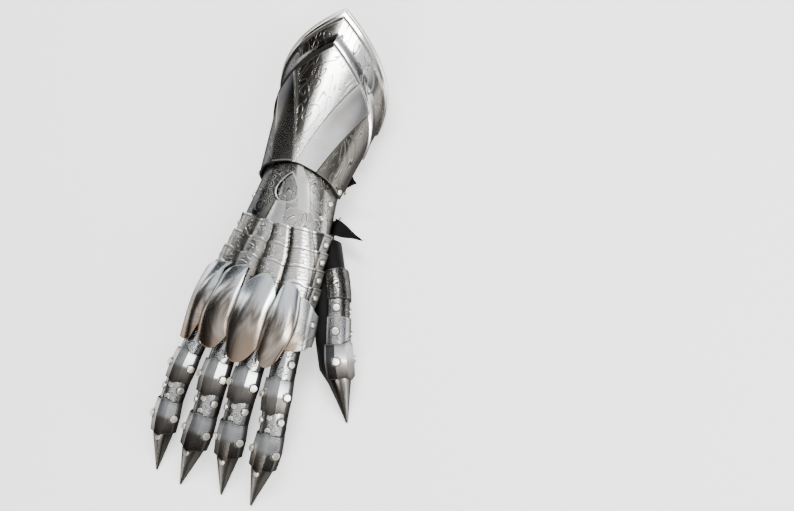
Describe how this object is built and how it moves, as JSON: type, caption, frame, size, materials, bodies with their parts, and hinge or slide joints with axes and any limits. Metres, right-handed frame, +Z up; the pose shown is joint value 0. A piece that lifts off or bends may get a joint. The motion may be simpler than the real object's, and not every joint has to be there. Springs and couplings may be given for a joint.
{
  "type": "armoured gauntlet",
  "caption": "Engraved steel plate gauntlet for a right hand, with a flared cuff, overlapping wrist lames, a lobed knuckle plate and clawed fingers over a leather glove.",
  "frame": {"origin": "under the middle of the box, on the table", "axes": "+X to the thumb's side, +Y from the fingers to the cuff's rear point, +Z up, palm down"},
  "size_m": [0.1612, 0.4256, 0.0658],
  "materials": {
    "steel": "engraved and polished",
    "polished_steel": "mirror polished",
    "buckle_steel": "satin",
    "hide": "matt black"
  },
  "bodies": {
    "root": {"glove_index": "hide", "index_plate_1": "steel", "index_cap_a": "steel", "index_plate_2": "steel", "index_cap_b": "steel", "index_claw": "steel", "glove_middle": "hide", "middle_plate_1": "steel", "middle_cap_a": "steel", "middle_plate_2": "steel", "middle_cap_b": "steel", "middle_claw": "steel", "glove_ring": "hide", "ring_plate_1": "steel", "ring_cap_a": "steel", "ring_plate_2": "steel", "ring_cap_b": "steel", "ring_claw": "steel", "glove_pinky": "hide", "pinky_plate_1": "steel", "pinky_cap_a": "steel", "pinky_plate_2": "steel", "pinky_cap_b": "steel", "pinky_claw": "steel", "thumb_base": "steel", "thumb_plate_1": "steel", "thumb_plate_2": "steel", "thumb_cap": "steel", "thumb_claw": "steel", "wrist_lame": "steel", "wrist_plate": "steel", "lame_1": "steel", "lame_2": "steel", "lame_3": "steel", "lame_4": "steel", "knuckle_plate": "polished_steel", "cuff": "steel", "glove_hand": "hide", "glove_thumb": "hide", "glove_sleeve": "hide", "strap_wrist": "hide", "buckle_wrist": "buckle_steel", "prong_wrist": "buckle_steel", "strap_forearm": "hide", "buckle_forearm": "buckle_steel", "prong_forearm": "buckle_steel"}
  },
  "joints": []
}
